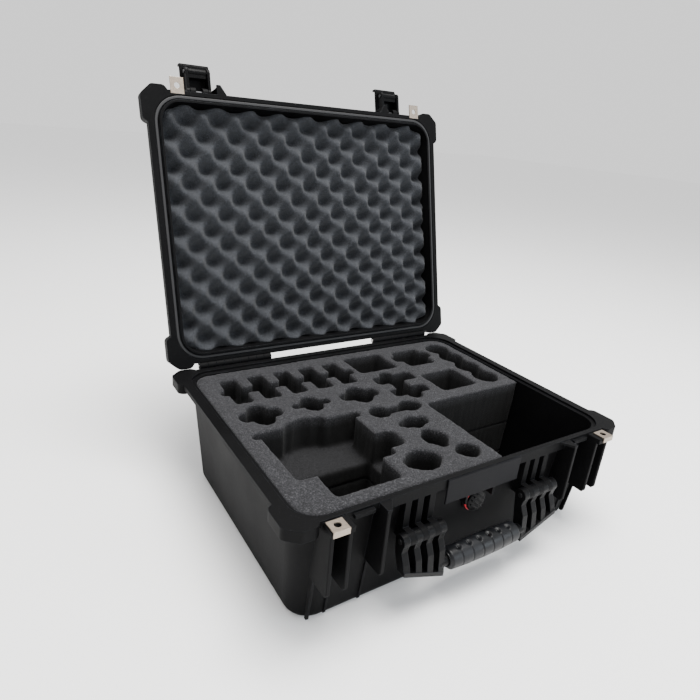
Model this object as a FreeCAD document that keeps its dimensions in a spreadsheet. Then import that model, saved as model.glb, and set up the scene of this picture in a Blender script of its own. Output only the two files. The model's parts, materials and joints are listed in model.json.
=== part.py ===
import FreeCAD, Part
import Sketcher
import math
import os
import re

# Hard protective carrying case, shown standing open, with a cut foam insert in the base.
# Frame: origin at the centre of the underside of the base, X right, Y to the hinges, Z up.
# The lid and everything on it is drawn closed, then turned about the hinge axis to stand open.

doc = FreeCAD.newDocument("CarryingCase")
sheet = doc.addObject("Spreadsheet::Sheet", "Sizes")

SIZES = [
    ("rimZ", 156.5, "height of the parting plane above the ground"),
    ("wall", 4.0, "shell wall"),
    ("topHalfX", 236.5, "half width of the base opening"),
    ("topHalfY", 179.5, "half depth of the base opening"),
    ("footHalfX", 231.0, "half width of the outside at the ground"),
    ("footHalfY", 166.3, "half depth of the outside at the ground"),
    ("cornerR", 30.0, "corner radius of the opening"),
    ("footR", 10.0, "round between walls and floor"),
    ("flangeHalfX", 254.0, "half width of the rim flange"),
    ("flangeFront", 190.0, "front edge of the rim flange"),
    ("flangeBack", 194.0, "back edge of the rim flange"),
    ("flangeR", 36.0, "corner radius of the rim flange"),
    ("flangeT", 7.0, "thickness of the base rim flange"),
    ("ledgeDrop", 3.7, "depth of the step inside the base rim"),
    ("ledgeWidth", 5.0, "width of that step"),
    ("lidHeight", 45.0, "height of the lid above the parting plane"),
    ("lidHalfX", 236.0, "half width of the lid opening"),
    ("lidHalfY", 178.5, "half depth of the lid opening"),
    ("lidTopHalfX", 234.0, "half width of the outside at the lid top"),
    ("lidTopHalfY", 176.0, "half depth of the outside at the lid top"),
    ("lidFlangeT", 11.0, "thickness of the lid flange"),
    ("earOut", 7.0, "how far the corner bumpers stand out of the flange"),
    ("earRound", 8.0, "rounding of a corner bumper's outline"),
    ("earT", 14.0, "height of a corner bumper"),
    ("lidGap", 0.6, "gap between the closed rims"),
    ("ribDrop", 2.6, "how far the lid's inner rim rib dips into the base step"),
    ("ribT", 3.0, "thickness of that rib"),
    ("sealWidth", 5.0, "width of the lid seal"),
    ("sealHeight", 3.6, "height of the lid seal"),
    ("hingeY", 198.6, "hinge axis, distance behind the centre"),
    ("hingeUp", 2.9, "hinge axis, height above the parting plane"),
    ("openAngle", 104.7, "how far the lid stands open"),
    ("knuckleR", 5.5, "outer radius of a hinge knuckle"),
    ("hingePinR", 2.2, "hinge pin radius"),
    ("hingeInner", 100.0, "inner end of a hinge"),
    ("hingeStep", 13.0, "hinge knuckle spacing"),
    ("knuckleGap", 0.6, "side gap between knuckles"),
    ("runGap", 0.06, "radial running clearance on every pin"),
    ("latchX", 172.35, "centre of a latch"),
    ("latchY", 200.0, "latch pivot, distance in front of the centre"),
    ("latchUp", 24.0, "latch pivot, height above the parting plane"),
    ("latchWide", 36.0, "width over the latch cheeks"),
    ("latchReach", 28.0, "latch pivot to hook pin"),
    ("latchPlate", 12.0, "hook pin to the face of the pull plate"),
    ("cheekT", 4.0, "latch cheek thickness"),
    ("latchPinR", 2.5, "latch pin radius"),
    ("finInnerX", 149.5, "fin beside the latch bay, towards the middle"),
    ("finOuterX", 195.2, "fin beside the latch bay, towards the corner"),
    ("finFront", 205.0, "front edge of the fins"),
    ("finDeep", 88.0, "length of the fins below the rim"),
    ("finT", 5.0, "fin thickness"),
    ("apronDeep", 13.0, "height of the apron"),
    ("panelHalf", 59.0, "half width of the blank name panel"),
    ("panelDeep", 33.0, "height of the name panel"),
    ("handleX", 94.7, "centre of a handle mount"),
    ("handleStep", 17.3, "spacing of the handle knuckles"),
    ("handleDown", 55.0, "handle pivot below the rim"),
    ("handleY", 199.0, "handle pivot, distance in front of the centre"),
    ("handleR", 8.3, "radius of the handle knuckles"),
    ("handlePinR", 3.0, "handle pin radius"),
    ("fingerT", 8.4, "thickness of a handle finger"),
    ("supportT", 8.2, "thickness of a base knuckle for the handle"),
    ("combDrop", 47.0, "handle pivot to the middle of the comb's bar"),
    ("combSlope", 0.39, "fall of the comb's bar towards the grip, per millimetre"),
    ("combOut", 14.5, "front of the comb's bar in front of the handle pivot"),
    ("barT", 6.0, "height of the comb's bar"),
    ("gripDown", 46.5, "grip centre below the handle pivot"),
    ("gripOut", 7.0, "grip centre in front of the handle pivot"),
    ("gripR", 14.5, "grip radius"),
    ("gripHalf", 57.0, "half length of the grip"),
    ("rodR", 7.0, "radius of the rod inside the grip"),
    ("valveDown", 51.0, "valve centre below the rim"),
    ("valveR", 14.5, "valve knob radius"),
    ("valveFront", 190.0, "front face of the valve knob"),
    ("boltR", 6.0, "radius of the valve stem"),
    ("plateX", 209.7, "centre of a padlock plate"),
    ("plateY", 200.8, "padlock hole, distance in front of the centre"),
    ("plateWide", 19.0, "padlock plate width"),
    ("plateT", 1.5, "padlock plate thickness"),
    ("holeR", 4.0, "padlock hole radius"),
    ("foamGap", 1.2, "gap between foam and walls"),
    ("foamTop", 4.2, "foam surface below the rim"),
    ("layerDown", 76.0, "joint between the foam layers below the rim"),
    ("padDown", 130.0, "joint between lower layer and floor pad below the rim"),
    ("binLeft", 44.0, "left side of the large open compartment"),
    ("binBack", -25.0, "back side of the large open compartment"),
    ("pitDown", 118.0, "floor of the deep pit below the rim"),
    ("shelfDown", 52.0, "shelf of the large pocket below the rim"),
    ("shelfEdge", -59.0, "front edge of that shelf"),
    ("crateDepth", 37.0, "thickness of the convoluted lid foam"),
]
for row, (alias, value, note) in enumerate(SIZES, start=1):
    sheet.set("A%d" % row, note)
    sheet.set("B%d" % row, str(value))
    sheet.setAlias("B%d" % row, alias)
doc.recompute()

NAMES = sorted((alias for alias, value, note in SIZES), key=len, reverse=True)
WORD = re.compile(r"\b(" + "|".join(NAMES) + r")\b")


def size(alias):
    """Current value of a driving size, for choices that cannot be an expression."""
    return float(sheet.get(alias))


def bound(text):
    """Expression text in which every driving size points at the sheet."""
    return WORD.sub(r"Sizes.\1", str(text))


def bind(thing, **sizes):
    """Bind properties of an object to expressions over the driving sizes."""
    for prop, text in sizes.items():
        thing.setExpression(prop, bound(text))
    return thing


def place(thing, x, y, z, turn=None):
    """Bind the position of an object and give it a fixed turn."""
    if turn is not None:
        thing.Placement.Rotation = turn
    for axis, text in zip("xyz", (x, y, z)):
        thing.setExpression("Placement.Base." + axis, bound(text))
    return thing


ALONG_X = FreeCAD.Rotation(FreeCAD.Vector(0, 1, 0), 90)
ALONG_Y = FreeCAD.Rotation(FreeCAD.Vector(1, 0, 0), -90)


def block(x, y, z, wide, deep, high):
    """A box centred on x and y, standing on z."""
    box = bind(doc.addObject("Part::Box", "block"), Length=wide, Width=deep, Height=high)
    return place(box, "%s - (%s) / 2" % (x, wide), "%s - (%s) / 2" % (y, deep), z)


def span(x0, x1, y0, y1, z0, z1):
    """A box between two corners."""
    box = doc.addObject("Part::Box", "block")
    bind(box, Length="(%s) - (%s)" % (x1, x0), Width="(%s) - (%s)" % (y1, y0), Height="(%s) - (%s)" % (z1, z0))
    return place(box, x0, y0, z0)


def rod(x, y, z, radius, length, turn=None):
    """A cylinder starting at a point, upright unless turned."""
    return place(bind(doc.addObject("Part::Cylinder", "rod"), Radius=radius, Height=length), x, y, z, turn)


def crossRod(x, y, z, radius, length):
    """A cylinder along X centred on a point."""
    return rod("%s - (%s) / 2" % (x, length), y, z, radius, length, ALONG_X)


def fuse(parts, label="joined"):
    """One solid from several."""
    joined = doc.addObject("Part::MultiFuse", label)
    joined.Shapes = parts
    joined.Refine = True
    joined.Label = label
    return joined


def cut(base, tools, label="cut"):
    """A solid less one or several others."""
    result = doc.addObject("Part::Cut", label)
    result.Base = base
    result.Tool = tools[0] if len(tools) == 1 else fuse(tools)
    result.Refine = True
    result.Label = label
    return result


def rounded(base, chosen, radius, label="rounded"):
    """A solid with the edges picked by a test rounded to a driving size."""
    doc.recompute()
    edges = [n for n, edge in enumerate(base.Shape.Edges, start=1) if chosen(edge)]
    fillet = doc.addObject("Part::Fillet", label)
    fillet.Base = base
    fillet.Edges = [(n, radius, radius) for n in edges]
    fillet.Label = label
    return fillet


def upright(edge):
    """True for a straight edge along Z."""
    return isinstance(edge.Curve, Part.Line) and abs(edge.Curve.Direction.z) > 0.999


def onLevel(z):
    """A test for edges lying on one level."""
    return lambda edge: abs(edge.BoundBox.ZMin - z) < 0.01 and abs(edge.BoundBox.ZMax - z) < 0.01


def outline(points, z, name="outline"):
    """A closed polygon sketch on a level, every corner dimensioned from the origin."""
    sketch = doc.addObject("Sketcher::SketchObject", name)
    count = len(points)
    line = Part.LineSegment
    guess = [(value(x), value(y)) for x, y in points]
    for n in range(count):
        a, b = guess[n], guess[(n + 1) % count]
        sketch.addGeometry(line(FreeCAD.Vector(a[0], a[1], 0), FreeCAD.Vector(b[0], b[1], 0)), False)
    for n in range(count):
        sketch.addConstraint(Sketcher.Constraint("Coincident", n, 2, (n + 1) % count, 1))
    for n, (x, y) in enumerate(points):
        for kind, text, number in (("DistanceX", x, guess[n][0]), ("DistanceY", y, guess[n][1])):
            which = sketch.addConstraint(Sketcher.Constraint(kind, -1, 1, n, 1, number))
            sketch.setExpression("Constraints[%d]" % which, bound(text))
    return place(sketch, "0", "0", z)


def value(text):
    """Number an expression over the driving sizes comes to."""
    scratch = doc.getObject("Scratch") or doc.addObject("App::FeaturePython", "Scratch")
    return scratch.evalExpression(bound(text))


def roundRect(halfX, front, back, radius, z, name="roundRect"):
    """A rounded rectangle sketch on a level, from -halfX to halfX and from -front to back."""
    sketch = doc.addObject("Sketcher::SketchObject", name)
    hx, f, b, r = value(halfX), value(front), value(back), value(radius)
    V = FreeCAD.Vector
    corners = [(hx - r, b - r, 0), (-hx + r, b - r, 90), (-hx + r, -f + r, 180), (hx - r, -f + r, 270)]
    for cx, cy, start in corners:
        circle = Part.Circle(V(cx, cy, 0), V(0, 0, 1), r)
        sketch.addGeometry(Part.ArcOfCircle(circle, math.radians(start), math.radians(start + 90)), False)
    sides = [(0, 1), (1, 2), (2, 3), (3, 0)]
    for n, (a, c) in enumerate(sides):
        start = sketch.getPoint(a, 2)
        end = sketch.getPoint(c, 1)
        sketch.addGeometry(Part.LineSegment(start, end), False)
        sketch.addConstraint(Sketcher.Constraint("Tangent", a, 2, 4 + n, 1))
        sketch.addConstraint(Sketcher.Constraint("Tangent", 4 + n, 2, c, 1))
    for n in (4, 6):
        sketch.addConstraint(Sketcher.Constraint("Horizontal", n))
    for n in (5, 7):
        sketch.addConstraint(Sketcher.Constraint("Vertical", n))
    for n in (1, 2, 3):
        sketch.addConstraint(Sketcher.Constraint("Equal", 0, n))
    sized = [
        ("Radius", (0,), r, radius),
        ("DistanceX", (-1, 1, 7, 1), hx, halfX),
        ("DistanceX", (5, 1, -1, 1), hx, halfX),
        ("DistanceY", (-1, 1, 4, 1), b, back),
        ("DistanceY", (6, 1, -1, 1), f, front),
    ]
    for kind, where, number, text in sized:
        which = sketch.addConstraint(Sketcher.Constraint(kind, *where, number))
        sketch.setExpression("Constraints[%d]" % which, bound(text))
    return place(sketch, "0", "0", z)


def raised(sketch, height, name="raised"):
    """A sketch extruded upwards."""
    pad = doc.addObject("Part::Extrusion", name)
    pad.Base = sketch
    pad.DirMode = "Custom"
    pad.Dir = FreeCAD.Vector(0, 0, 1)
    pad.Solid = True
    return bind(pad, LengthFwd=height)


def loft(sections, name="loft"):
    """A solid through two outlines."""
    body = doc.addObject("Part::Loft", name)
    body.Sections = sections
    body.Solid = True
    body.Ruled = True
    return body


def bothSides(build):
    """What a builder gives for the left (-1) and the right (+1)."""
    return [piece for side in (-1, 1) for piece in build(side)]



SIDEWAYS = FreeCAD.Rotation(FreeCAD.Vector(1, 1, 1), 120)


def acrossX(points, x, wide):
    """A side profile of Y and Z corners, extruded to a width centred on x."""
    sketch = place(outline(points, "0"), "%s - (%s) / 2" % (x, wide), "0", "0", SIDEWAYS)
    pad = raised(sketch, wide)
    pad.Dir = FreeCAD.Vector(1, 0, 0)
    return pad


FACING = FreeCAD.Rotation(FreeCAD.Vector(1, 0, 0), 90)


def outwardY(points, y, deep):
    """A front profile of X and Z corners, extruded forwards from a plane."""
    pad = raised(place(outline(points, "0"), "0", y, "0", FACING), deep)
    pad.Dir = FreeCAD.Vector(0, -1, 0)
    return pad


def ear(side, end, back, z, height):
    """A rounded corner bumper standing out of the rim flange."""
    def corner(x, y):
        return ("%d * (flangeHalfX + %s)" % (side, x), "%d * (%s + %s)" % (end, back, y))
    points = [("-4", "-47"), ("earOut", "-41"), ("earOut", "-8"), ("-8", "earOut - 1"),
              ("-26", "earOut - 1"), ("-32", "-2"), ("-32", "-20")]
    sketch = outline([corner(x, y) for x, y in points], z)
    return rounded(raised(sketch, height), upright, size("earRound"))


def ears(front, back, z, height):
    """The four corner bumpers of one shell."""
    return [ear(side, end, reach, z, height) for side in (-1, 1) for end, reach in ((-1, front), (1, back))]


def insideX(z):
    """Half width of the base interior at a height."""
    return "footHalfX - wall + (topHalfX - footHalfX + wall) * ((%s) - wall) / (rimZ - wall)" % z


def insideY(z):
    """Half depth of the base interior at a height."""
    return "footHalfY - wall + (topHalfY - footHalfY + wall) * ((%s) - wall) / (rimZ - wall)" % z


def ring(outerX, outerFront, outerBack, outerR, width, z, height):
    """A flat rounded frame of even width."""
    outer = raised(roundRect(outerX, outerFront, outerBack, outerR, z), height)
    less = " - (%s)" % width
    inner = raised(roundRect(outerX + less, outerFront + less, outerBack + less, outerR + less, z), height)
    return cut(outer, [inner])


def softened(solid, radius):
    """A solid with every edge rounded."""
    return rounded(solid, lambda edge: True, radius)


# Hinge: nine knuckles a side, the odd ones on the base and the even ones on the lid.
KNUCKLES = 9


def hingeKnuckles(side, which, webLow, webHigh):
    """Knuckles of one shell on one hinge, each with its web to the flange."""
    pieces = []
    for n in which:
        x = "%d * (hingeInner + hingeStep * %s)" % (side, n + 0.5)
        wide = "hingeStep - knuckleGap"
        pieces.append(crossRod(x, "hingeY", "rimZ + hingeUp", "knuckleR", wide))
        pieces.append(span(x + " - (%s) / 2" % wide, x + " + (%s) / 2" % wide,
                           "flangeBack - 8", "hingeY + 2", webLow, webHigh))
    return pieces


def hingeAxis(side, radius, extra):
    """A rod on the axis of one hinge."""
    middle = "%d * (hingeInner + hingeStep * %s)" % (side, KNUCKLES / 2)
    return crossRod(middle, "hingeY", "rimZ + hingeUp", radius, "hingeStep * %d + %s" % (KNUCKLES, extra))


# Base shell.
def fins(side):
    """Upright fins around the latch bay and the padlock block, with the block itself."""
    pieces = []
    fin = [("-finFront", "rimZ - 1.6"), ("-finFront", "rimZ - finDeep + 4"), ("-finFront + 3", "rimZ - finDeep"),
           ("-168", "rimZ - finDeep"), ("-168", "rimZ - 1.6")]
    seam = [("-footHalfY - 0.5", "4"), ("-footHalfY - 2.4", "6"), ("-topHalfY - wall - 1.6", "rimZ - 20"),
            ("-topHalfY + 3", "rimZ - 20"), ("-footHalfY + 3", "4")]
    for x in ("finInnerX", "finOuterX", "plateX + 7"):
        pieces.append(softened(acrossX(fin, "%d * (%s)" % (side, x), "finT"), 1.2))
        pieces.append(acrossX(seam, "%d * (%s)" % (side, x), "2.6"))
    cap = [("finInnerX + 2.5", "-flangeFront + 2"), ("finInnerX + 2.5", "-finFront"),
           ("finInnerX - 3", "-finFront"), ("finInnerX - 14", "-flangeFront + 2")]
    pieces.append(raised(outline([("%d * (%s)" % (side, x), y) for x, y in cap], "rimZ - 4"), "3"))
    pieces.append(softened(span("%d * (finOuterX + plateX + 8) / 2 - 13.5" % side,
                                "%d * (finOuterX + plateX + 8) / 2 + 13.5" % side,
                                "-plateY - 8", "-180", "rimZ - 9", "rimZ - plateT + 0.1"), 1))
    return pieces


def handleMount(side):
    """Three ribs running down from the apron to the knuckles that carry the handle."""
    pieces = []
    for n in (-1, 0, 1):
        x = "%d * (handleX + handleStep * %d)" % (side, n)
        pieces.append(block(x, "-(flangeFront + 170) / 2", "rimZ - handleDown - handleR",
                            "supportT", "flangeFront - 170", "handleDown + handleR - 2"))
        pieces.append(crossRod(x, "-handleY", "rimZ - handleDown", "handleR", "supportT"))
        pieces.append(block(x, "-(handleY + 170) / 2", "rimZ - handleDown - handleR + 2",
                            "supportT", "handleY - 170", "2 * handleR - 2"))
    return pieces


def latchCatch(side):
    """Lip under the rim that the latch hook pulls on."""
    return [span("%d * latchX - 12.5" % side, "%d * latchX + 12.5" % side,
                 "-latchY + 5.2", "-184", "rimZ - flangeT", "rimZ - 3")]


outside = rounded(loft([roundRect("footHalfX", "footHalfY", "footHalfY", "cornerR", "0"),
                        roundRect("topHalfX + wall", "topHalfY + wall", "topHalfY + wall",
                                  "cornerR + wall", "rimZ")]), onLevel(0), size("footR"))
cavity = rounded(loft([roundRect("footHalfX - wall", "footHalfY - wall", "footHalfY - wall",
                                 "cornerR - wall", "wall"),
                       roundRect("topHalfX", "topHalfY", "topHalfY", "cornerR", "rimZ")]),
                 onLevel(size("wall")), size("footR") - size("wall"))
flange = raised(roundRect("flangeHalfX", "flangeFront", "flangeBack", "flangeR", "rimZ - flangeT"), "flangeT")
step = raised(roundRect("topHalfX + ledgeWidth", "topHalfY + ledgeWidth", "topHalfY + ledgeWidth",
                        "cornerR + ledgeWidth", "rimZ - ledgeDrop"), "ledgeDrop + 5")
apron = span("-finInnerX", "finInnerX", "-flangeFront", "-176", "rimZ - apronDeep", "rimZ - 1")
gussets = [block("%d * 22" % side, "-(flangeFront + 168) / 2", "rimZ - 46", "3", "flangeFront - 168", "40")
           for side in (-1, 1)]
valveBoss = rod("0", "-180.2", "rimZ - valveDown", "valveR + 2.5", "10", ALONG_Y)
hull = fuse([outside, flange, apron, valveBoss] + gussets)
bumped = fuse([hull] + ears("flangeFront", "flangeBack", "rimZ - earT", "earT") + bothSides(latchCatch))
mounted = fuse([bumped] + bothSides(handleMount))
skin = fuse([mounted] + bothSides(fins))
hollow = cut(skin, [cavity, step] + [hingeAxis(side, "knuckleR + 0.7", "1") for side in (-1, 1)])
innerBoss = rod("0", "-176", "rimZ - valveDown", "13", "4", ALONG_Y)
baseKnuckles = bothSides(lambda side: hingeKnuckles(side, range(0, KNUCKLES, 2), "rimZ - flangeT", "rimZ"))
baseShell = cut(
    fuse([hollow, innerBoss] + baseKnuckles),
    [hingeAxis(side, "hingePinR + runGap", "4") for side in (-1, 1)]
    + [crossRod("%d * handleX" % side, "-handleY", "rimZ - handleDown", "handlePinR + runGap", "80")
       for side in (-1, 1)]
    + [rod("%d * plateX" % side, "-plateY", "rimZ - 20", "holeR + 0.5", "40") for side in (-1, 1)]
    + [rod("0", "-200", "rimZ - valveDown", "boltR + runGap", "40", ALONG_Y)],
    "base_shell",
)
hingePins = {side: hingeAxis(side, "hingePinR", "2") for side in (-1, 1)}


# Fittings on the base.
def basePlate(side):
    """Steel plate over the padlock block, bent down in front."""
    x = "%d * plateX" % side
    top = block(x, "-plateY", "rimZ + 0.1 - plateT", "plateWide", "16", "plateT")
    lip = block(x, "-plateY - 8 - plateT / 2", "rimZ + 0.1 - 7", "plateWide", "plateT", "7")
    return cut(fuse([top, lip]), [rod(x, "-plateY", "rimZ - 5", "holeR", "10")])


basePlates = {side: basePlate(side) for side in (-1, 1)}
namePanel = softened(span("-panelHalf", "panelHalf", "-flangeFront - 2.4", "-flangeFront",
                          "rimZ - panelDeep", "rimZ - 0.3"), 0.8)
valveKnob = rounded(rod("0", "-valveFront", "rimZ - valveDown", "valveR", "6.2", ALONG_Y),
                    lambda edge: edge.BoundBox.YMax < -size("valveFront") + 1, 1.8)
valveStem = rod("0", "-valveFront + 6.2", "rimZ - valveDown", "boltR", "19", ALONG_Y)
valveNut = cut(rod("0", "-172", "rimZ - valveDown", "11", "4", ALONG_Y),
               [rod("0", "-180", "rimZ - valveDown", "boltR + runGap", "20", ALONG_Y)])
valveRing = place(bind(doc.addObject("Part::Torus", "ring"), Radius1="valveR - 1", Radius2="1.8"),
                  "0", "-182", "rimZ - valveDown", ALONG_Y)


# Handle: two combs of four fingers joined by a sloping bar, with a grip over the rod between them.
def handleComb(side):
    """Four fingers from the pivot down to the bar, the inner ones longer."""
    pieces = []
    pivot = "rimZ - handleDown"
    reach = "(1.5 * handleStep + fingerT / 2)"
    for n in (-1.5, -0.5, 0.5, 1.5):
        x = "%d * (handleX + handleStep * %s)" % (side, n)
        foot = pivot + " - combDrop + combSlope * handleStep * (%s)" % n
        finger = [("-handleY - 8", pivot + " + 1"), ("-handleY - 5", pivot + " - 13"),
                  ("-handleY - 11", pivot + " - 26"), ("-handleY - combOut", foot),
                  ("-handleY - 1", foot), ("-handleY + 6", pivot + " - 18"), ("-handleY + 8.2", pivot)]
        pieces.append(crossRod(x, "-handleY", "rimZ - handleDown", "handleR", "fingerT"))
        pieces.append(acrossX(finger, x, "fingerT"))
    outer = "%d * (handleX + %s)" % (side, reach)
    inner = "%d * (handleX - %s)" % (side, reach)
    low = pivot + " - combDrop - barT / 2"
    rise = " combSlope * " + reach
    bar = [(outer, low + " +" + rise), (inner, low + " -" + rise),
           (inner, low + " + barT -" + rise), (outer, low + " + barT +" + rise)]
    pieces.append(outwardY(bar, "-handleY - 1", "combOut - 1"))
    return pieces


handleRod = crossRod("0", "-handleY - gripOut", "rimZ - handleDown - gripDown", "rodR", "2 * gripHalf + 24")
handleFrame = cut(fuse(bothSides(handleComb) + [handleRod]),
                  [crossRod("%d * handleX" % side, "-handleY", "rimZ - handleDown",
                            "handlePinR + runGap", "80") for side in (-1, 1)])
handlePins = {side: crossRod("%d * handleX" % side, "-handleY", "rimZ - handleDown", "handlePinR",
                             "3 * handleStep + fingerT + 2") for side in (-1, 1)}
gripCore = rounded(crossRod("0", "-handleY - gripOut", "rimZ - handleDown - gripDown", "gripR", "2 * gripHalf"),
                   lambda edge: isinstance(edge.Curve, Part.Circle), 3)
gripGrooves = [place(bind(doc.addObject("Part::Torus", "groove"), Radius1="gripR + 0.6", Radius2="1.6"),
                     "gripHalf * 2 * %s / 6" % n, "-handleY - gripOut", "rimZ - handleDown - gripDown", ALONG_X)
               for n in (-2, -1, 0, 1, 2)]
handleGrip = cut(gripCore, [crossRod("0", "-handleY - gripOut", "rimZ - handleDown - gripDown",
                                     "rodR + runGap", "2 * gripHalf + 4")] + gripGrooves)


# Lid shell, drawn closed.
lidOutside = rounded(loft([roundRect("lidHalfX + wall + 1", "lidHalfY + wall + 1", "lidHalfY + wall + 1",
                                     "cornerR + wall", "rimZ + lidGap"),
                           roundRect("lidTopHalfX", "lidTopHalfY", "lidTopHalfY", "cornerR + wall",
                                     "rimZ + lidHeight")]), onLevel(size("rimZ") + size("lidHeight")), 8)
lidCavity = rounded(loft([roundRect("lidHalfX", "lidHalfY", "lidHalfY", "cornerR", "rimZ + lidGap"),
                          roundRect("lidTopHalfX - wall", "lidTopHalfY - wall", "lidTopHalfY - wall", "cornerR",
                                    "rimZ + lidHeight - wall")]),
                    onLevel(size("rimZ") + size("lidHeight") - size("wall")), 4)
lidFlange = raised(roundRect("flangeHalfX", "flangeBack", "flangeBack", "flangeR", "rimZ + lidGap"), "lidFlangeT")
lidRib = ring("lidHalfX + ribT", "lidHalfY + ribT", "lidHalfY + ribT", "cornerR + ribT", "ribT",
              "rimZ - ribDrop", "ribDrop + lidGap + 4")


def lidFront(side):
    """Bosses for the latch pin, the wedge beside them and its fin."""
    pieces = []
    for way in (-1, 1):
        x = "%d * latchX + %d * (latchWide / 2 - cheekT - 4.8)" % (side, way)
        pieces.append(crossRod(x, "-latchY", "rimZ + latchUp", "7", "8"))
        pieces.append(block(x, "-(latchY + 166) / 2", "rimZ + latchUp - 7", "8", "latchY - 166", "14"))
    wedge = [("finInnerX + 2.5", "-flangeBack + 3"), ("finInnerX + 2.5", "-finFront - 2.5"),
             ("finInnerX - 3", "-finFront - 2.5"), ("finInnerX - 14", "-flangeBack + 3")]
    pieces.append(raised(outline([("%d * (%s)" % (side, x), y) for x, y in wedge], "rimZ + lidGap"), "3"))
    pieces.append(softened(span("%d * finInnerX - finT / 2" % side, "%d * finInnerX + finT / 2" % side,
                                "-finFront", "-168", "rimZ + lidGap", "rimZ + lidHeight - 15"), 1.2))
    return pieces


def topRidge(side):
    """Low stacking ridge along the top of the lid."""
    return [softened(block("0", "%d * 95" % side, "rimZ + lidHeight - 3", "330", "12", "5"), 1.5)]


lidBody = fuse([lidOutside, lidFlange])
lidBumped = fuse([lidBody] + ears("flangeBack", "flangeBack", "rimZ + lidGap", "earT") + bothSides(topRidge))
lidSkin = fuse([lidBumped] + bothSides(lidFront))
sealGroove = ring("lidHalfX + ribT + sealWidth + 2", "lidHalfY + ribT + sealWidth + 2",
                  "lidHalfY + ribT + sealWidth + 2", "cornerR + ribT + sealWidth + 2", "sealWidth + 1",
                  "rimZ + lidGap", "sealHeight + 0.3")
lidHollow = cut(lidSkin, [lidCavity] + [hingeAxis(side, "knuckleR + 0.7", "1") for side in (-1, 1)])
lidKnuckles = bothSides(lambda side: hingeKnuckles(side, range(1, KNUCKLES, 2), "rimZ + hingeUp", "rimZ + 10"))
plateSlots = [block("%d * plateX" % side, "-plateY", "rimZ", "plateWide", "22", "lidGap + plateT")
              for side in (-1, 1)]
lidShell = cut(fuse([lidHollow, lidRib] + lidKnuckles),
               [sealGroove] + plateSlots
               + [hingeAxis(side, "hingePinR + runGap", "4") for side in (-1, 1)]
               + [crossRod("%d * latchX" % side, "-latchY", "rimZ + latchUp", "latchPinR + runGap", "60")
                  for side in (-1, 1)])
lidSeal = rounded(ring("lidHalfX + ribT + sealWidth + 1.5", "lidHalfY + ribT + sealWidth + 1.5",
                       "lidHalfY + ribT + sealWidth + 1.5", "cornerR + ribT + sealWidth + 1.5", "sealWidth",
                       "rimZ + lidGap + 0.3", "sealHeight"),
                  onLevel(size("rimZ") + size("lidGap") + 0.3), 1.6)


def lidPlate(side):
    """Flat steel padlock plate let into the lid flange."""
    x = "%d * plateX" % side
    plate = block(x, "-plateY", "rimZ + lidGap", "plateWide", "22", "plateT")
    return cut(plate, [rod(x, "-plateY", "rimZ - 5", "holeR", "20")])


lidPlates = {side: lidPlate(side) for side in (-1, 1)}


# Latches, drawn shut: a lever on the lid and a hook on the lever.
def latchLever(side):
    """Channel shaped lever: two cheeks, a wide pull plate with a turned-out lip."""
    x = "%d * latchX" % side
    foot = "rimZ + latchUp - latchReach"
    pieces = []
    for way in (-1, 1):
        edge = "%s + %d * (latchWide / 2 - cheekT / 2)" % (x, way)
        pieces.append(crossRod(edge, "-latchY", "rimZ + latchUp", "7", "cheekT"))
        pieces.append(crossRod(edge, "-latchY", foot, "6", "cheekT"))
        pieces.append(block(edge, "-latchY - latchPlate / 2 + 2", foot + " - 6", "cheekT", "latchPlate - 2",
                            "latchReach + 12"))
        pieces.append(block(edge, "-latchY", foot, "cheekT", "12", "latchReach"))
    pieces.append(softened(block(x, "-latchY - latchPlate + 1.5", foot + " - 12", "latchWide + 8", "3",
                                 "latchReach + 19"), 1))
    pieces.append(softened(block(x, "-latchY - latchPlate - 2", foot + " - 14", "latchWide + 8", "8", "3.4"), 1))
    holes = [crossRod(x, "-latchY", "rimZ + latchUp", "latchPinR + runGap", "60"),
             crossRod(x, "-latchY", foot, "latchPinR + runGap", "60")]
    return cut(fuse(pieces), holes)


def latchHook(side):
    """Claw that turns on the lever's lower pin and reaches under the base lip."""
    x = "%d * latchX" % side
    foot = "rimZ + latchUp - latchReach"
    wide = "latchWide - 2 * cheekT - 2"
    stem = block(x, "-latchY", foot + " - 8.4", wide, "6", "8.4")
    claw = block(x, "-latchY + 2.6", foot + " - 8.4", wide, "11.2", "3.6")
    return cut(fuse([crossRod(x, "-latchY", foot, "4.5", wide), stem, claw]),
               [crossRod(x, "-latchY", foot, "latchPinR + runGap", "60")])


def latchPin(side, up, length):
    """A plain pin through a latch."""
    return crossRod("%d * latchX" % side, "-latchY", up, "latchPinR", length)


levers = {side: latchLever(side) for side in (-1, 1)}
hooks = {side: latchHook(side) for side in (-1, 1)}
leverPins = {side: latchPin(side, "rimZ + latchUp", "latchWide + 1") for side in (-1, 1)}
hookPins = {side: latchPin(side, "rimZ + latchUp - latchReach", "latchWide + 3") for side in (-1, 1)}


# Foam. Each layer follows the drafted walls; the pockets are cut down from its surface.
def foamLayer(low, high):
    """A slab of foam filling the base between two levels."""
    sections = [roundRect(insideX(z) + " - foamGap", insideY(z) + " - foamGap", insideY(z) + " - foamGap",
                          "cornerR - 4", z) for z in (low, high)]
    return loft(sections)


def pocket(x0, x1, y0, y1, down, radius=3.0):
    """A cutter for a pocket with rounded upright corners."""
    return rounded(span(x0, x1, y0, y1, "rimZ - (%s)" % down, "rimZ"), upright, radius)


def lobe(x, y, radius, down):
    """A cutter for a round pocket."""
    return rod(x, y, "rimZ - (%s)" % down, radius, down)


def slots():
    """Five upright slots joined by a finger channel."""
    pieces = [pocket(-213, 5, 105, 122, 34, 4)]
    for n in range(5):
        x = -191 + 42.6 * n
        pieces.append(pocket(x - 13, x + 13, 76, 152, 41, 4))
    return pieces


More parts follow.
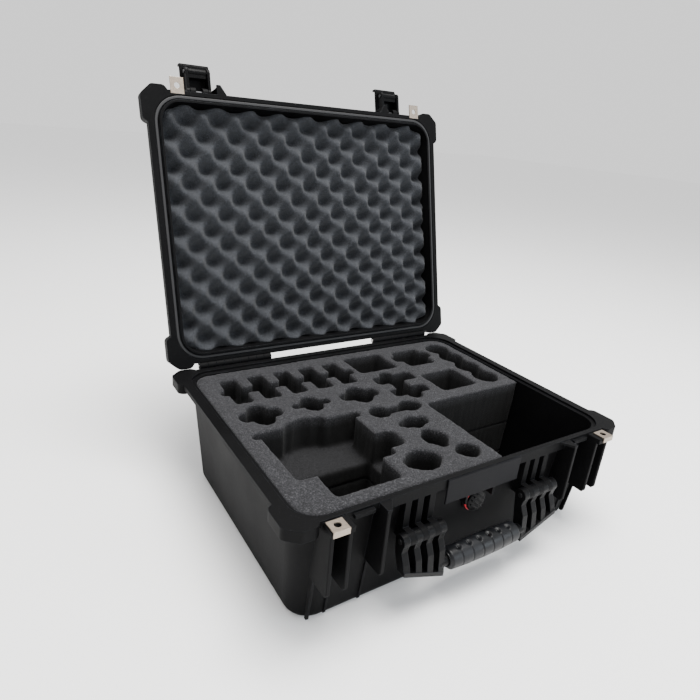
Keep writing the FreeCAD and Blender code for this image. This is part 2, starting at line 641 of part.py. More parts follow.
def crosses():
    """Three small cross shaped pockets."""
    pieces = []
    for x, y, wing, high, lobeR, lobeUp in ((-186, 38, 30, 24, 14, 14), (-109, 40, 30, 14, 14, 7),
                                            (-31, 38, 32, 23, 16, 9)):
        pieces.append(pocket(x - wing, x + wing, y - high / 2, y + high / 2, 50, min(high / 2 - 1, 8)))
        pieces.append(lobe(x, y + lobeUp, lobeR, 50))
        pieces.append(lobe(x, y - lobeUp, lobeR, 50))
    return pieces


def rightGroup():
    """Pockets behind the open compartment."""
    pieces = [pocket(12, 84, 99, 158, 62), pocket(99, 167, -2, 59, 66)]
    pieces += [pocket(107, 160, 92, 154, 58, 6), pocket(95, 172, 114, 140, 58, 10)]
    pieces.append(pocket(189, 217, 0, 154, 56, 8))
    pieces += [lobe(201.5, y, 21.5, 56) for y in (138, 99, 57, 15)]
    pieces += [pocket(16, 89, 52, 78, 54, 6), pocket(35, 57, 70, 90, 54, 9), pocket(34, 60, 20, 60, 54, 4)]
    pieces += [pocket(17, 83, 10, 32, 54, 6), lobe(49, 7, 12, 54)]
    return pieces


def smallLobes():
    """Rounded pockets between the large pocket and the open compartment."""
    pieces = [lobe(-34, -19, 15.5, 46), pocket(-34, 18, -29, -13, 46, 6), lobe(17, -19, 15.5, 46),
              pocket(8, 37, -30, -9, 46, 9)]
    pieces += [pocket(-30, 17, -71, -51, 46, 9), lobe(-7, -61, 15, 46)]
    pieces += [lobe(-6, -105, 18, 46), pocket(-15, 3, -128, -82, 46, 8)]
    pieces += [pocket(-79, -29, -152, -127, 46, 9), lobe(-54, -140, 21.5, 46)]
    pieces += [lobe(13, -146, 16, 46), pocket(-4, 31, -154, -139, 46, 7)]
    return pieces


def shelfPocket():
    """Upper part of the large pocket, down to its shelf."""
    pieces = [pocket(-209, -73, -115, -20, "shelfDown", 4), pocket(-219, -62, -18, -5, "shelfDown", 5)]
    pieces.append(pocket(-209, -73, -30, -10, "shelfDown", 4))
    pieces += [pocket(-172, -112, -20, 4, "shelfDown", 10), lobe(-142, -18, 26, "shelfDown")]
    pieces.append(pocket(-80, -48, -101, -65, "shelfDown", 10))
    return pieces


def deepPit(down):
    """Deep part in front of the shelf."""
    return [pocket(-209, -73, -115, "shelfEdge", down, 4), pocket(-185, -97, -158, -100, down, 6)]


def openBin():
    """Corner left free of foam from rim to floor."""
    return [span("binLeft", "topHalfX + 10", "-topHalfY - 10", "binBack", "-5", "rimZ + 5")]


nutRoom = rod("0", "-190", "rimZ - valveDown", "14", "28", ALONG_Y)
foamUpper = cut(foamLayer("rimZ - layerDown", "rimZ - foamTop"),
                openBin() + slots() + crosses() + rightGroup() + smallLobes() + shelfPocket()
                + deepPit("layerDown + 1") + [nutRoom])
foamLower = cut(foamLayer("rimZ - padDown", "rimZ - layerDown"), openBin() + deepPit("pitDown"))
foamPad = cut(rounded(foamLayer("wall", "rimZ - padDown"), onLevel(size("wall")), 7), openBin())


def lidFoam():
    """Convoluted foam glued in the lid: a slab with staggered tapering hollows."""
    slab = loft([roundRect("lidHalfX - foamGap", "lidHalfY - foamGap", "lidHalfY - foamGap",
                           "cornerR - foamGap", "rimZ + lidHeight - wall - crateDepth"),
                 roundRect("lidTopHalfX - wall - foamGap", "lidTopHalfY - wall - foamGap",
                           "lidTopHalfY - wall - foamGap", "cornerR - foamGap", "rimZ + lidHeight - wall")])
    return rounded(slab, onLevel(size("rimZ") + size("lidHeight") - size("wall")), 5)



# Turn the lid and what it carries to where it stands open.
axis = FreeCAD.Vector(1, 0, 0)


def turned(degrees, y, up):
    """A turn about an axis parallel to X."""
    centre = FreeCAD.Vector(0, y, size("rimZ") + up)
    return FreeCAD.Placement(FreeCAD.Vector(), FreeCAD.Rotation(axis, degrees), centre)


opened = turned(-size("openAngle"), size("hingeY"), size("hingeUp"))
leverOut = turned(-90, -size("latchY"), size("latchUp"))
hookFolded = turned(180, -size("latchY"), size("latchUp") - size("latchReach"))

NODES = {
    "base_shell": (baseShell, None),
    "name_panel": (namePanel, None),
    "valve_knob": (valveKnob, None),
    "valve_stem": (valveStem, None),
    "valve_ring": (valveRing, None),
    "valve_nut": (valveNut, None),
    "handle_frame": (handleFrame, None),
    "handle_grip": (handleGrip, None),
    "foam_upper": (foamUpper, None),
    "foam_lower": (foamLower, None),
    "foam_pad": (foamPad, None),
    "lid_shell": (lidShell, opened),
    "lid_seal": (lidSeal, opened),
    "lid_foam": (lidFoam(), opened),
}
for side, word in ((-1, "left"), (1, "right")):
    NODES["hinge_pin_" + word] = (hingePins[side], None)
    NODES["handle_pin_" + word] = (handlePins[side], None)
    NODES["padlock_plate_base_" + word] = (basePlates[side], None)
    NODES["padlock_plate_lid_" + word] = (lidPlates[side], opened)
    NODES["latch_lever_" + word] = (levers[side], opened * leverOut)
    NODES["latch_lever_pin_" + word] = (leverPins[side], opened * leverOut)
    NODES["latch_hook_pin_" + word] = (hookPins[side], opened * leverOut)
    NODES["latch_hook_" + word] = (hooks[side], opened * leverOut * hookFolded)

doc.recompute()
os.makedirs("parts", exist_ok=True)
for name, (piece, move) in NODES.items():
    piece.Label = name
    if move is not None:
        doc.recompute()
        for prop, text in piece.ExpressionEngine:
            if prop.startswith(".Placement") or prop.startswith("Placement"):
                piece.setExpression(prop, None)
        piece.Placement = move * piece.Placement
doc.recompute()
broken = [thing.Label for thing in doc.Objects if {"Invalid", "Error"} & set(thing.State)]
if broken:
    raise RuntimeError("not recomputed: " + ", ".join(broken))
for name, (piece, move) in NODES.items():
    shape = piece.Shape
    if shape.isNull() or not shape.isValid():
        raise RuntimeError("bad shape: " + name)
    print("%-26s solids %d faces %4d volume %10.0f" % (name, len(shape.Solids), len(shape.Faces), shape.Volume))
    shape.exportStep("parts/%s.step" % name)
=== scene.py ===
import json
import math
import bmesh
import bpy
from mathutils import Matrix, Vector, noise


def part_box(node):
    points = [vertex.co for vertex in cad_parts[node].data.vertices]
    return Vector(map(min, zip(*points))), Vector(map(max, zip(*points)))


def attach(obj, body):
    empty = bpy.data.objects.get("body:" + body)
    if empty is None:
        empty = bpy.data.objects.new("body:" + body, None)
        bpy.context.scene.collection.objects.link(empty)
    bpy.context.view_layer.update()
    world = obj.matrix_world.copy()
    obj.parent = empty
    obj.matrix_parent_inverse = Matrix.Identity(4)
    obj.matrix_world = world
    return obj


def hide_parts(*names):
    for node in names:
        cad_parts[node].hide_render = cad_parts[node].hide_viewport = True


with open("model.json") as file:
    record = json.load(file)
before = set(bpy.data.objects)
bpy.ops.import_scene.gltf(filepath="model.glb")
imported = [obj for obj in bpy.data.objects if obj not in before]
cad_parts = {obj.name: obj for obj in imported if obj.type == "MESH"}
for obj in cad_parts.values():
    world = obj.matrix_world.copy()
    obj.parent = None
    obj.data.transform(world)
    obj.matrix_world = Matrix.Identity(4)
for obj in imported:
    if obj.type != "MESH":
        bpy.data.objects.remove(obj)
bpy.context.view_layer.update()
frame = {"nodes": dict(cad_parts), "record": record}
record = frame["record"]
mm = 0.001

# ---- where things are, from the frame

jointOf = {j["name"]: j for j in record["behaviour"]["joints"]}
bodyOf = {n: b for b, nodes in record["behaviour"]["bodies"].items() for n in nodes}


def openLid():
    # turns a point given with the lid shut to where it is with the lid open
    hinge = jointOf["lid_hinge"]
    pivot = Vector(hinge["pos_m"])
    turn = Matrix.Rotation(-math.radians(hinge["range_deg"][1]), 4, Vector(hinge["axis"]))
    return Matrix.Translation(pivot) @ turn @ Matrix.Translation(-pivot)


foamBelowRim = 4.2 * mm
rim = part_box("foam_upper")[1].z + foamBelowRim      # parting plane of the two shells
lidTurn = openLid()

# ---- building helpers

weldGap = 0.02 * mm


def finishPiece(bm, name, material, body):
    bmesh.ops.recalc_face_normals(bm, faces=bm.faces)
    mesh = bpy.data.meshes.new(name)
    bm.to_mesh(mesh)
    bm.free()
    for poly in mesh.polygons:
        poly.use_smooth = True
    piece = bpy.data.objects.new(name, mesh)
    bpy.context.scene.collection.objects.link(piece)
    mesh.materials.append(material)
    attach(piece, body)
    return piece


def addBevel(piece, width, segments, angle):
    bevel = piece.modifiers.new("softEdges", "BEVEL")
    bevel.width = width
    bevel.segments = segments
    bevel.limit_method = "ANGLE"
    bevel.angle_limit = math.radians(angle)
    return piece


def spunShape(bm, profile, centre, axis, steps):
    # turns a profile of (along, radius) about an axis through centre
    side = axis.orthogonal().normalized()
    verts = [bm.verts.new(centre + axis * along + side * radius) for along, radius in profile]
    edges = [bm.edges.new(pair) for pair in zip(verts, verts[1:])]
    bmesh.ops.spin(bm, geom=verts + edges, cent=centre, axis=axis, angle=math.tau, steps=steps,
                   use_merge=True)
    bmesh.ops.remove_doubles(bm, verts=bm.verts, dist=weldGap)


# ---- materials


class Recipe:
    # a node material being written: the shader, and short ways to add nodes

    def __init__(self, name):
        self.material = bpy.data.materials.new(name)
        self.material.use_nodes = True
        self.tree = self.material.node_tree
        self.shader = self.tree.nodes["Principled BSDF"]
        self.coords = self.tree.nodes.new("ShaderNodeTexCoord").outputs["Object"]

    def node(self, kind, **values):
        made = self.tree.nodes.new(kind)
        for key, value in values.items():
            if hasattr(made, key):
                setattr(made, key, value)
            else:
                made.inputs[key.replace("_", " ")].default_value = value
        return made

    def link(self, a, b):
        self.tree.links.new(a, b)

    def noise(self, scale, detail=3.0, rough=0.6, stretch=None):
        tex = self.node("ShaderNodeTexNoise", Scale=scale, Detail=detail, Roughness=rough)
        start = self.coords
        if stretch:
            mapping = self.node("ShaderNodeMapping")
            mapping.inputs["Scale"].default_value = stretch
            self.link(start, mapping.inputs["Vector"])
            start = mapping.outputs["Vector"]
        self.link(start, tex.inputs["Vector"])
        return tex.outputs["Fac"]

    def cells(self, scale):
        tex = self.node("ShaderNodeTexVoronoi", Scale=scale)
        self.link(self.coords, tex.inputs["Vector"])
        return tex.outputs["Distance"]

    def ramp(self, source, stops):
        ramp = self.node("ShaderNodeValToRGB")
        elements = ramp.color_ramp.elements
        while len(elements) < len(stops):
            elements.new(0.5)
        for element, (place, colour) in zip(elements, stops):
            element.position = place
            element.color = (*colour, 1) if isinstance(colour, tuple) else (colour, colour, colour, 1)
        self.link(source, ramp.inputs["Fac"])
        return ramp.outputs["Color"]

    def spread(self, source, low, high, start=0.3, end=0.7):
        node = self.node("ShaderNodeMapRange")
        for key, value in (("From Min", start), ("From Max", end), ("To Min", low), ("To Max", high)):
            node.inputs[key].default_value = value
        self.link(source, node.inputs["Value"])
        return node.outputs["Result"]

    def mix(self, factor, a, b, how="MIX"):
        node = self.node("ShaderNodeMix", data_type="RGBA", blend_type=how)
        for socket, value in ((node.inputs[0], factor), (node.inputs[6], a), (node.inputs[7], b)):
            if isinstance(value, (int, float)):
                socket.default_value = value
            elif isinstance(value, tuple):
                socket.default_value = (*value, 1)
            else:
                self.link(value, socket)
        return node.outputs[2]

    def times(self, a, b):
        node = self.node("ShaderNodeMath", operation="MULTIPLY")
        self.link(a, node.inputs[0])
        self.link(b, node.inputs[1])
        return node.outputs["Value"]

    def edges(self, radius):
        # near 1 on the sharp outer edges of a piece and 0 on its faces
        bevel = self.node("ShaderNodeBevel", samples=4)
        bevel.inputs["Radius"].default_value = radius
        flat = self.node("ShaderNodeNewGeometry")
        dot = self.node("ShaderNodeVectorMath", operation="DOT_PRODUCT")
        self.link(bevel.outputs["Normal"], dot.inputs[0])
        self.link(flat.outputs["Normal"], dot.inputs[1])
        return bevel.outputs["Normal"], self.spread(dot.outputs["Value"], 1, 0, 0.72, 0.99)

    def bump(self, height, distance, strength=1.0, normal=None):
        node = self.node("ShaderNodeBump", Strength=strength, Distance=distance)
        self.link(height, node.inputs["Height"])
        if normal:
            self.link(normal, node.inputs["Normal"])
        return node.outputs["Normal"]

    def colour(self, value):
        self.link(value, self.shader.inputs["Base Color"])

    def roughness(self, value):
        self.link(value, self.shader.inputs["Roughness"])

    def normal(self, value):
        self.link(value, self.shader.inputs["Normal"])

    def fixed(self, **values):
        for key, value in values.items():
            self.shader.inputs[key.replace("_", " ")].default_value = value


def mouldedPlastic(name, look):
    # dark moulded plastic: fine grain, cloudy gloss, dust specks, and edges lightened to a bluish grey that is
    # partly rubbed wear and partly painted highlight
    made = Recipe(name)
    rounded, edge = made.edges(look["edge"])
    cloud = made.noise(look["cloud"], 4, 0.6)
    grain = made.noise(look["grain"], 2, 0.5)
    base = made.ramp(cloud, [(0.3, look["dark"]), (0.7, look["light"])])
    speck = made.ramp(made.noise(look["grain"] * 0.7, 2, 0.7), [(0.62, 0.0), (0.78, look["speck"])])
    base = made.mix(1.0, base, speck, "ADD")
    edgeWearAndHighlight = made.noise(look["cloud"] * 9, 3, 0.7)
    rubbedEdgeHighlight = made.times(edge, edgeWearAndHighlight)
    shade = made.spread(rubbedEdgeHighlight, 0, look["edgeWearAndHighlight"], 0.35, 0.75)
    # edges mixed towards a lighter bluish grey: partly real rubbing, partly a painted highlight
    base = made.mix(shade, base, look["rubbedEdgeHighlight"])
    made.colour(base)
    made.roughness(made.spread(cloud, look["gloss"] - 0.06, look["gloss"] + 0.08))
    made.normal(made.bump(grain, look["depth"], 0.6, rounded))
    made.fixed(Specular_IOR_Level=look["specular"], IOR=look["ior"])
    return made.material


shellLook = {"dark": (0.0012, 0.0012, 0.0014), "light": (0.003, 0.003, 0.0033),
             "rubbedEdgeHighlight": (0.05, 0.055, 0.066), "cloud": 7, "grain": 900, "depth": 0.3 * mm, "gloss": 0.56,
             "edge": 0.9 * mm, "edgeWearAndHighlight": 1.0, "speck": 0.008, "specular": 0.2, "ior": 1.25}
latchLook = {**shellLook, "gloss": 0.38, "specular": 0.2, "grain": 1900, "edge": 0.6 * mm}
handleLook = {**shellLook, "gloss": 0.33, "grain": 2100, "edge": 1.2 * mm, "edgeWearAndHighlight": 0.9, "specular": 0.24}
panelLook = {**shellLook, "gloss": 0.46, "specular": 0.15, "dark": (0.003, 0.003, 0.0038),
             "light": (0.007, 0.007, 0.0082)}
knobLook = {**shellLook, "gloss": 0.34, "grain": 2500, "depth": 0.08 * mm}
shellPlastic = mouldedPlastic("shellPlastic", shellLook)
latchPlastic = mouldedPlastic("latchPlastic", latchLook)
handlePlastic = mouldedPlastic("handlePlastic", handleLook)
panelPlastic = mouldedPlastic("panelPlastic", panelLook)
knobPlastic = mouldedPlastic("knobPlastic", knobLook)


def softRubber(name, look):
    made = Recipe(name)
    cloud = made.noise(look["cloud"], 4, 0.6)
    made.colour(made.ramp(cloud, [(0.3, look["dark"]), (0.7, look["light"])]))
    made.roughness(made.spread(cloud, look["gloss"] - 0.05, look["gloss"] + 0.1))
    made.normal(made.bump(made.noise(look["grain"], 3, 0.6), look["depth"], 0.5))
    made.fixed(Specular_IOR_Level=look["specular"])
    return made.material


gripLook = {"dark": (0.003, 0.0033, 0.004), "light": (0.006, 0.0065, 0.008), "cloud": 40, "grain": 1600,
            "gloss": 0.4, "depth": 0.1 * mm, "specular": 0.2}
sealLook = {"dark": (0.006, 0.006, 0.007), "light": (0.011, 0.011, 0.012), "cloud": 30, "grain": 1200,
            "gloss": 0.55, "depth": 0.05 * mm, "specular": 0.4}
redLook = {"dark": (0.42, 0.012, 0.02), "light": (0.62, 0.03, 0.045), "cloud": 60, "grain": 1400,
           "gloss": 0.4, "depth": 0.05 * mm, "specular": 0.5}
gripRubber = softRubber("gripRubber", gripLook)
sealRubber = softRubber("sealRubber", sealLook)
redRubber = softRubber("redRubber", redLook)


def satinSteel(name, look):
    made = Recipe(name)
    streak = made.noise(look["streaks"], 4, 0.7, (1, 14, 14))
    made.colour(made.ramp(streak, [(0.3, look["dark"]), (0.7, look["light"])]))
    made.roughness(made.spread(streak, look["gloss"] - 0.06, look["gloss"] + 0.08))
    rounded, edge = made.edges(0.4 * mm)
    made.normal(made.bump(streak, 0.03 * mm, 0.4, rounded))
    made.fixed(Metallic=1.0)
    return made.material


plateLook = {"dark": (0.25, 0.205, 0.165), "light": (0.4, 0.34, 0.28), "streaks": 220, "gloss": 0.38}
pinLook = {"dark": (0.32, 0.31, 0.3), "light": (0.5, 0.49, 0.47), "streaks": 300, "gloss": 0.3}
blackLook = {"dark": (0.035, 0.035, 0.037), "light": (0.06, 0.06, 0.062), "streaks": 300, "gloss": 0.42}
plateSteel = satinSteel("plateSteel", plateLook)
pinSteel = satinSteel("pinSteel", pinLook)
blackSteel = satinSteel("blackSteel", blackLook)


def openCellFoam(name, look):
    # open-cell foam: speckled cells, no gloss, a soft fuzz, and where asked painted shade in the cut-outs
    made = Recipe(name)
    fine = made.noise(look["cells"], 3, 0.75)
    pores = made.cells(look["cells"] * 0.8)
    tone = made.ramp(fine, [(0.38, look["dark"]), (0.53, look["mid"]), (0.68, look["light"])])
    holes = made.ramp(pores, [(0.12, 0.55), (0.5, 1.0)])
    patches = made.ramp(made.noise(look["patches"], 3, 0.6), [(0.3, 0.9), (0.7, 1.08)])
    tone = made.mix(1.0, tone, holes, "MULTIPLY")
    tone = made.mix(1.0, tone, patches, "MULTIPLY")
    if look["paintedRecessShade"]:      # painted shade: walls of the cut-outs darkened most, their floors a little less, fading out towards the top
        height = made.node("ShaderNodeSeparateXYZ")
        made.link(made.coords, height.inputs["Vector"])
        facing = made.node("ShaderNodeSeparateXYZ")
        made.link(made.node("ShaderNodeNewGeometry").outputs["Normal"], facing.inputs["Vector"])
        upFacingShade = made.spread(facing.outputs["Z"], look["sideFacingShade"], look["upFacingShade"], 0.5, 0.95)
        top = made.spread(height.outputs["Z"], 0, 1, rim - look["shadeFullBelow"], rim - look["shadeEndsAbove"])
        tone = made.mix(1.0, tone, made.mix(top, upFacingShade, (1.0, 1.0, 1.0)), "MULTIPLY")
    made.colour(tone)
    made.roughness(made.spread(fine, 0.88, 1.0))
    made.normal(made.bump(fine, look["depth"], 0.9))
    made.fixed(Specular_IOR_Level=0.2, Sheen_Weight=look["fuzz"], Sheen_Roughness=0.6)
    return made.material


# the last four entries set the painted shade inside the cut-outs: wall and floor darkening, and the depths
# where it starts and ends
insertLook = {"dark": (0.007, 0.007, 0.008), "mid": (0.017, 0.017, 0.0192), "light": (0.07, 0.07, 0.076),
              "cells": 640, "patches": 16, "depth": 0.9 * mm, "fuzz": 0.03, "paintedRecessShade": True,
              "sideFacingShade": 0.07, "upFacingShade": 0.4, "shadeFullBelow": 22 * mm, "shadeEndsAbove": 5.5 * mm}
lidFoamLook = {"dark": (0.009, 0.01, 0.0115), "mid": (0.024, 0.026, 0.0305), "light": (0.064, 0.069, 0.078),
               "cells": 900, "patches": 16, "depth": 0.5 * mm, "fuzz": 0.05, "paintedRecessShade": False}
insertFoam = openCellFoam("insertFoam", insertLook)
lidFoamFinish = openCellFoam("lidFoamFinish", lidFoamLook)
print("materials ready")

# ---- carried-over nodes

finishOf = {
    "base_shell": shellPlastic, "lid_shell": shellPlastic, "name_panel": panelPlastic,
    "valve_knob": knobPlastic, "valve_stem": knobPlastic, "valve_nut": knobPlastic, "valve_ring": redRubber,
    "handle_frame": handlePlastic, "handle_grip": gripRubber, "lid_seal": sealRubber,
    "foam_upper": insertFoam, "foam_lower": insertFoam, "foam_pad": insertFoam, "lid_foam": lidFoamFinish,
}
for word in ("left", "right"):
    finishOf["hinge_pin_" + word] = pinSteel
    finishOf["handle_pin_" + word] = blackSteel
    finishOf["padlock_plate_base_" + word] = plateSteel
    finishOf["padlock_plate_lid_" + word] = plateSteel
    finishOf["latch_lever_" + word] = latchPlastic
    finishOf["latch_hook_" + word] = latchPlastic
    finishOf["latch_lever_pin_" + word] = blackSteel
    finishOf["latch_hook_pin_" + word] = blackSteel
for node, piece in frame["nodes"].items():
    piece.data.materials.clear()
    piece.data.materials.append(finishOf[node])
print("nodes painted:", len(finishOf))

# ---- foam insert: each layer remeshed from its solid, then roughened like knife-cut foam

insertCut = {"voxel": 2.7 * mm, "weld": 0.01 * mm, "soften": 0.4, "rough": 0.7 * mm, "roughRate": 260,
             "roughRateUp": 30, "wave": 0.5 * mm, "waveRate": 22}


def cutFoamLayer(node, name):
    source = frame["nodes"][node].data.copy()
    bm = bmesh.new()
    bm.from_mesh(source)
    bmesh.ops.remove_doubles(bm, verts=bm.verts, dist=insertCut["weld"])
    bm.to_mesh(source)
    bm.free()
    uncut = bpy.data.objects.new(name + "Raw", source)
    bpy.context.scene.collection.objects.link(uncut)
    remesh = uncut.modifiers.new("cells", "REMESH")
    remesh.mode = "VOXEL"
    remesh.voxel_size = insertCut["voxel"]
    remesh.use_smooth_shade = True
    evaluated = uncut.evaluated_get(bpy.context.evaluated_depsgraph_get())
    bm = bmesh.new()
    bm.from_mesh(bpy.data.meshes.new_from_object(evaluated))
    bpy.data.objects.remove(uncut)
    low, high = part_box(node)
    bmesh.ops.smooth_vert(bm, verts=bm.verts, factor=insertCut["soften"], use_axis_x=True, use_axis_y=True,
                          use_axis_z=True)
    across, upward = insertCut["roughRate"], insertCut["roughRateUp"]
    for v in bm.verts:
        spot = Vector((v.co.x * across, v.co.y * across, v.co.z * upward))
        rough = noise.noise(spot) * insertCut["rough"]
        wave = noise.noise(v.co * insertCut["waveRate"]) * insertCut["wave"]
        v.co += v.normal * (rough + wave)
        v.co.z = max(low.z, min(high.z, v.co.z))
    piece = finishPiece(bm, name, insertFoam, bodyOf[node])
    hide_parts(node)
    return piece


for node, name in (("foam_upper", "cutFoamTop"), ("foam_lower", "cutFoamLower"), ("foam_pad", "foamFloorPad")):
    layer = cutFoamLayer(node, name)
    print("foam layer", name, len(layer.data.polygons))

# ---- convoluted foam in the lid

crate = {"pitchX": 49.6 * mm, "pitchY": 45.6 * mm, "depth": 28 * mm, "peak": 2.5 * mm, "ridge": 0.85,
         "rowRidge": 0.15, "halfX": 234.4 * mm, "halfY": 176.9 * mm, "backHalfX": 228.6 * mm,
         "backHalfY": 170.6 * mm, "back": 40.6 * mm, "corner": 28 * mm, "step": 2.7 * mm,
         "wobble": 0.9 * mm, "wobbleRate": 30, "sway": 3 * mm, "swayRate": 14}


def insideCorner(x, y, halfX, halfY, radius):
    # pulls a point of a rectangle in to the same rectangle with round corners
    cx = max(abs(x) - (halfX - radius), 0)
    cy = max(abs(y) - (halfY - radius), 0)
    reach = math.hypot(cx, cy)
    if reach <= radius or reach == 0:
        return x, y
    cx *= radius / reach
    cy *= radius / reach
    return math.copysign(halfX - radius + cx, x), math.copysign(halfY - radius + cy, y)


def convolutedFoam():
    halfX, halfY, step = crate["halfX"], crate["halfY"], crate["step"]
    bm = bmesh.new()
    bmesh.ops.create_grid(bm, x_segments=round(2 * halfX / step), y_segments=round(2 * halfY / step),
                          size=1)
    for v in bm.verts:
        x, y = insideCorner(v.co.x * halfX, v.co.y * halfY, halfX, halfY, crate["corner"])
        sway = noise.noise(Vector((x, y, 0)) * crate["swayRate"]) * crate["sway"]
        turnX = math.tau * (x + sway) / crate["pitchX"]
        turnY = math.tau * (y + sway) / crate["pitchY"]
        height = (0.5 - 0.5 * math.cos(turnX) * math.cos(turnY)) ** crate["ridge"]
        row = 0.5 - 0.5 * math.cos(2 * turnY)
        height = max(0, height - crate["rowRidge"] * row)
        wobble = noise.noise(Vector((x, y, 1)) * crate["wobbleRate"]) * crate["wobble"]
        v.co = (x, y, rim + crate["peak"] + crate["depth"] * height + abs(wobble))
    edge = [e for e in bm.edges if e.is_boundary]
    skirt = bmesh.ops.extrude_edge_only(bm, edges=edge)["geom"]
    rimLoop = [g for g in skirt if isinstance(g, bmesh.types.BMVert)]
    for v in rimLoop:
        v.co.x *= crate["backHalfX"] / halfX
        v.co.y *= crate["backHalfY"] / halfY
        v.co.z = rim + crate["back"]
    loop = [e for e in bm.edges if e.is_boundary]
    bmesh.ops.contextual_create(bm, geom=loop)
    bmesh.ops.triangulate(bm, faces=[f for f in bm.faces if len(f.verts) > 4])
    bmesh.ops.transform(bm, matrix=lidTurn, verts=bm.verts)
    piece = finishPiece(bm, "convolutedLidFoam", lidFoamFinish, "lid")
    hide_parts("lid_foam")
    return piece


lidFoamPiece = convolutedFoam()
print("lid foam", len(lidFoamPiece.data.polygons))

# ---- handle grip

grip = {"ribs": 7, "sections": 210, "steps": 88, "swell": 1.8 * mm, "groove": 1.0 * mm, "grooveWide": 0.09,
        "dimple": 2.4 * mm, "dimpleHalf": 5.5 * mm, "dimpleTurn": 0.42, "dimpleLean": 0.05, "bore": 7.1 * mm,
        "cadGap": 0.1 * mm, "endGap": 0.2 * mm, "shoulder": 4.5 * mm, "endFrom": 0.94, "endDrop": 3 * mm,
        "plainEnd": 0.2, "skinFrom": 0.6}


def handleGrip():
    low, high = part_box("handle_grip")
    middle = (low + high) / 2
    half = (high.x - low.x) / 2
    radius = (high.z - low.z) / 2 - grip["cadGap"]
    ribs, bore, shoulder = grip["ribs"], grip["bore"], radius - grip["shoulder"]
    profile = [(-half, bore), (-half, shoulder)]
    for n in range(grip["sections"] + 1):
        t = -1 + 2 * n / grip["sections"]
        phase = (t + 1) * 0.5 * ribs
        near = abs(phase - round(phase)) / 0.5
        grooved = grip["plainEnd"] < phase < ribs - grip["plainEnd"]
        groove = math.exp(-(near / grip["grooveWide"]) ** 2) * grip["groove"] if grooved else 0
        crown = grip["swell"] * (t * t)
        end = max(0, (abs(t) - grip["endFrom"]) / (1 - grip["endFrom"]))
        profile.append((t * (half - grip["endGap"]), radius - crown - groove - grip["endDrop"] * end * end))
    profile += [(half, shoulder), (half, bore)]
    bm = bmesh.new()
    spunShape(bm, profile, middle, Vector((1, 0, 0)), grip["steps"])
    ends = [e for e in bm.edges if e.is_boundary]
    bmesh.ops.bridge_loops(bm, edges=ends)
    for v in bm.verts:
        away = v.co - middle
        around = Vector((0, away.y, away.z))
        if around.length < radius * grip["skinFrom"]:
            continue
        angle = math.atan2(away.y, away.z)      # 0 on top, negative to the front
        for n in range(1, ribs):
            dx = (away.x - (n / ribs * 2 - 1) * half) / grip["dimpleHalf"]
            da = (angle + grip["dimpleLean"]) / grip["dimpleTurn"]
            reach = dx * dx + da * da
            if reach < 1:
                v.co -= around.normalized() * grip["dimple"] * (1 - reach) ** 2
    piece = finishPiece(bm, "ribbedGrip", gripRubber, "handle")
    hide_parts("handle_grip")
    return piece


handleGripPiece = handleGrip()
print("grip", len(handleGripPiece.data.polygons))

# ---- pressure valve knob: a domed cap with slanting finger ridges

knob = {"dome": 2.2 * mm, "edge": 1.6 * mm, "ridges": (-7.5, -2.5, 2.5, 7.5), "ridgeT": 1.7 * mm,
        "ridgeUp": 1.0 * mm, "ridgeInset": 1.2 * mm, "ridgeRound": 0.5 * mm, "slant": 38, "steps": 64,
        "shoulderSteps": 4, "domeSteps": 8, "soft": 0.3 * mm}


def valveKnobCap():
    low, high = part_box("valve_knob")
    middle = (low + high) / 2
    radius = (high.x - low.x) / 2
    depth = high.y - low.y
    back = Vector((middle.x, high.y, middle.z))
    face = depth - knob["ridgeUp"] - knob["dome"]
    profile = [(0, 0), (0, radius), (face - knob["edge"], radius)]
    for n in range(1, knob["shoulderSteps"] + 1):       # rounded shoulder
        a = math.radians(90 * n / knob["shoulderSteps"])
        profile.append((face - knob["edge"] * (1 - math.sin(a)), radius - knob["edge"] * (1 - math.cos(a))))
    inner = radius - knob["edge"]
    for n in range(1, knob["domeSteps"] + 1):       # shallow dome to the middle
        t = 1 - n / knob["domeSteps"]
        profile.append((face + knob["dome"] * (1 - t * t), inner * t))
    bm = bmesh.new()
    spunShape(bm, profile, back, Vector((0, -1, 0)), knob["steps"])
    for across in knob["ridges"]:
        half = math.sqrt(max(0, (inner - knob["ridgeInset"]) ** 2 - (across * mm) ** 2))
        crown = knob["dome"] * (1 - (across * mm / inner) ** 2) * 0.8
        made = bmesh.ops.create_cube(bm, size=1)["verts"]
        bmesh.ops.scale(bm, vec=(2 * half, knob["dome"] + knob["ridgeUp"], knob["ridgeT"]), verts=made)
        edges = [e for e in bm.edges if e.verts[0] in made and e.verts[1] in made]
        beveled = bmesh.ops.bevel(bm, geom=edges, offset=knob["ridgeRound"], affect="EDGES", segments=3,
                                  profile=0.5, material=-1)["verts"]
        made = [v for v in set(made) | set(beveled) if v.is_valid]
        turn = Matrix.Rotation(math.radians(knob["slant"]), 4, "Y")
        spot = turn @ Vector((0, 0, across * mm))
        reach = face + crown - (knob["dome"] - knob["ridgeUp"]) / 2
        place = back + Vector((spot.x, -reach, spot.z))
        bmesh.ops.transform(bm, matrix=Matrix.Translation(place) @ turn, verts=made)
    piece = finishPiece(bm, "valveKnobCap", knobPlastic, "valve")
    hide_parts("valve_knob")
    return addBevel(piece, knob["soft"], 1, 50)


valveKnobCap()
print("valve knob ready")

# ---- room: pale floor and soft lights

studio = {"floor": (0.95, 0.95, 0.95), "floorHalf": 12, "world": 1.2, "key": 125, "fill": 24,
          "keyPlace": (0.1, -0.15, 2.3), "fillPlace": (1.15, -1.75, 0.85), "aim": (0, 0, 0.25)}


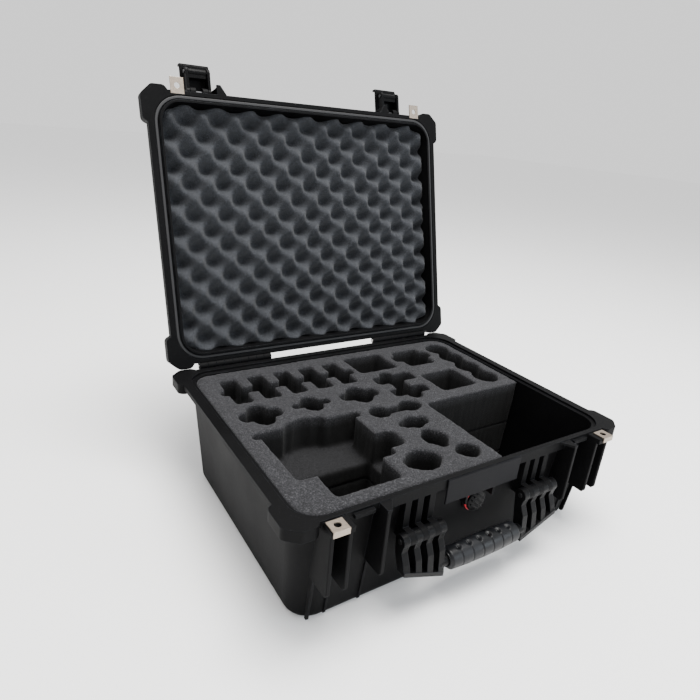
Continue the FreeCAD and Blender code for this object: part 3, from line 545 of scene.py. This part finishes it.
def studioRoom():
    bm = bmesh.new()
    bmesh.ops.create_grid(bm, x_segments=1, y_segments=1, size=studio["floorHalf"])
    mesh = bpy.data.meshes.new("paleFloor")
    bm.to_mesh(mesh)
    bm.free()
    floor = bpy.data.objects.new("paleFloor", mesh)
    bpy.context.scene.collection.objects.link(floor)
    made = Recipe("paleFloorPaint")
    made.fixed(Base_Color=(*studio["floor"], 1), Roughness=0.9)
    mesh.materials.append(made.material)
    world = bpy.data.worlds.new("softWhite")
    bpy.context.scene.world = world
    world.use_nodes = True
    sky = world.node_tree.nodes["Background"]
    sky.inputs["Color"].default_value = (1, 1, 1, 1)
    sky.inputs["Strength"].default_value = studio["world"]
    for name, place, size, power, colour in (
        ("keyLight", studio["keyPlace"], 1.3, studio["key"], (1, 0.99, 0.97)),
        ("fillLight", studio["fillPlace"], 1.0, studio["fill"], (0.84, 0.92, 1)),
    ):
        data = bpy.data.lights.new(name, "AREA")
        data.size = size
        data.energy = power
        data.color = colour
        lamp = bpy.data.objects.new(name, data)
        lamp.location = place
        aim = Vector(studio["aim"]) - Vector(place)
        lamp.rotation_euler = aim.to_track_quat("-Z", "Y").to_euler()
        bpy.context.scene.collection.objects.link(lamp)


studioRoom()
print("studio ready")

# ---- camera

view = {"place": (-0.4582, -0.5670, 0.3600), "right": (0.8435, -0.5304, 0.0853),
        "up": (0.1296, 0.3549, 0.9259), "sensor": 36, "lens": 28.9, "shiftX": -0.0051, "shiftY": -0.0031}


def addCamera():
    data = bpy.data.cameras.new("viewCamera")
    data.sensor_width = view["sensor"]
    data.lens = view["lens"]
    data.shift_x = view["shiftX"]
    data.shift_y = view["shiftY"]
    camera = bpy.data.objects.new("viewCamera", data)
    right, up = Vector(view["right"]).normalized(), Vector(view["up"]).normalized()
    back = right.cross(up)
    turn = Matrix((right, up, back)).transposed().to_4x4()
    camera.matrix_world = Matrix.Translation(Vector(view["place"]) + Vector((0, 0, rim))) @ turn
    bpy.context.scene.collection.objects.link(camera)
    bpy.context.scene.camera = camera


addCamera()
